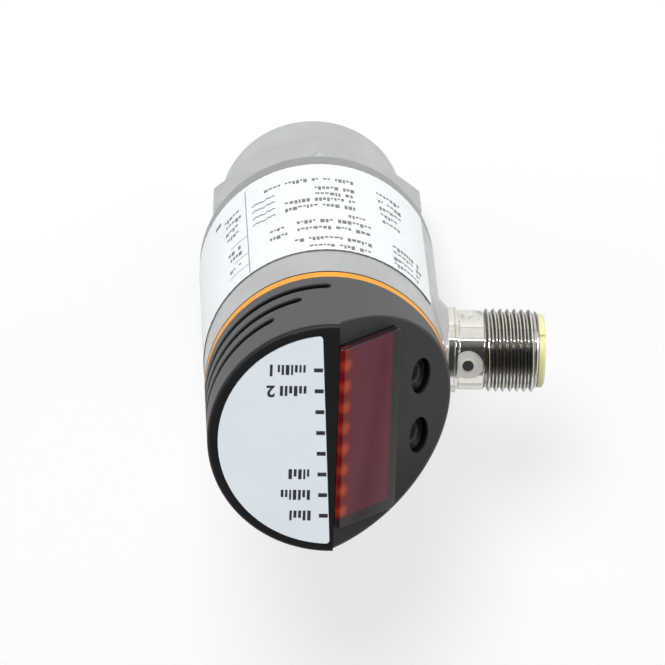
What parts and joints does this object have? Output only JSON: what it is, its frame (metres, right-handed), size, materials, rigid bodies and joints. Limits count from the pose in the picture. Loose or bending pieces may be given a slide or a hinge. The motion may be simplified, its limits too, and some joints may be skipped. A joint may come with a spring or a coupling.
{
  "type": "pressure sensor",
  "caption": "Round stainless pressure sensor with a slanted display head, push buttons, a side plug connector and a female process thread.",
  "frame": {"origin": "centre of the process thread's mouth, on the flat face of the round collar", "axes": "+Z along the body from the process thread to the display head; the plug connector points along -X; the white scale plate is on the +X half of the head"},
  "size_m": [0.0481, 0.0346, 0.0831],
  "materials": {
    "connection_steel": "satin turned stainless steel",
    "screw_steel": "machined stainless steel",
    "cell_ceramic": "dense pale ceramic, ground faces",
    "seal_rubber": "smooth black elastomer",
    "ring_steel": "turned stainless steel",
    "board_green": "green circuit board",
    "lead_amber": "amber flexible lead",
    "spring_steel": "stamped spring steel",
    "sleeve_steel": "satin turned stainless steel",
    "label_film": "white printed film",
    "ring_orange": "orange moulded plastic",
    "shell_nickel": "bright nickel-plated brass",
    "insert_cream": "pale yellow moulded insert",
    "contact_gold": "gold-plated contact",
    "carrier_grey": "moulded grey carrier",
    "cap_black": "fine-textured black moulding",
    "plate_white": "pale printed plate",
    "pane_red": "dark red window pane",
    "lamp_red": "red lamp",
    "guide_clear": "red-tinted light guide",
    "module_grey": "dark display module",
    "switch_grey": "moulded push switch",
    "button_rubber": "black elastomer button"
  },
  "bodies": {
    "connection": {"process_connection": "connection_steel", "restrictor_screw": "screw_steel", "measuring_cell": "cell_ceramic", "cell_seal": "seal_rubber", "cell_clamp_ring": "ring_steel", "cell_board": "board_green", "cell_lead": "lead_amber", "swivel_seal": "seal_rubber", "retaining_ring": "spring_steel"},
    "housing": {"housing_sleeve": "sleeve_steel", "stop_pin": "spring_steel", "wrap_label": "label_film", "accent_ring": "ring_orange", "connector_shell": "shell_nickel", "connector_seal": "seal_rubber", "connector_nut": "shell_nickel", "contact_carrier": "insert_cream", "contact_pins": "contact_gold", "connector_board": "board_green", "main_board": "board_green", "board_carrier": "carrier_grey", "board_link": "lead_amber", "display_cap": "cap_black", "cap_seal": "seal_rubber", "scale_plate": "plate_white", "window_pane": "pane_red", "display_board": "board_green", "status_lights": "lamp_red", "light_guide": "guide_clear", "display_module": "module_grey", "mode_switch": "switch_grey", "set_switch": "switch_grey"},
    "mode_key": {"mode_button": "button_rubber"},
    "set_key": {"set_button": "button_rubber"}
  },
  "joints": [
    {"name": "housing_swivel", "type": "hinge", "parent": "connection", "child": "housing", "pos_m": [0, 0, 0.0261], "axis": [0, 0, 1], "range_deg": [-172.5, 172.5]},
    {"name": "mode_press", "type": "slide", "parent": "housing", "child": "mode_key", "axis": [0.6756, 0, -0.7373], "range_m": [0, 0.0005], "stiffness_N_per_m": 1500, "springref_m": -0.0001},
    {"name": "set_press", "type": "slide", "parent": "housing", "child": "set_key", "axis": [0.6756, 0, -0.7373], "range_m": [0, 0.0005], "stiffness_N_per_m": 1500, "springref_m": -0.0001}
  ]
}
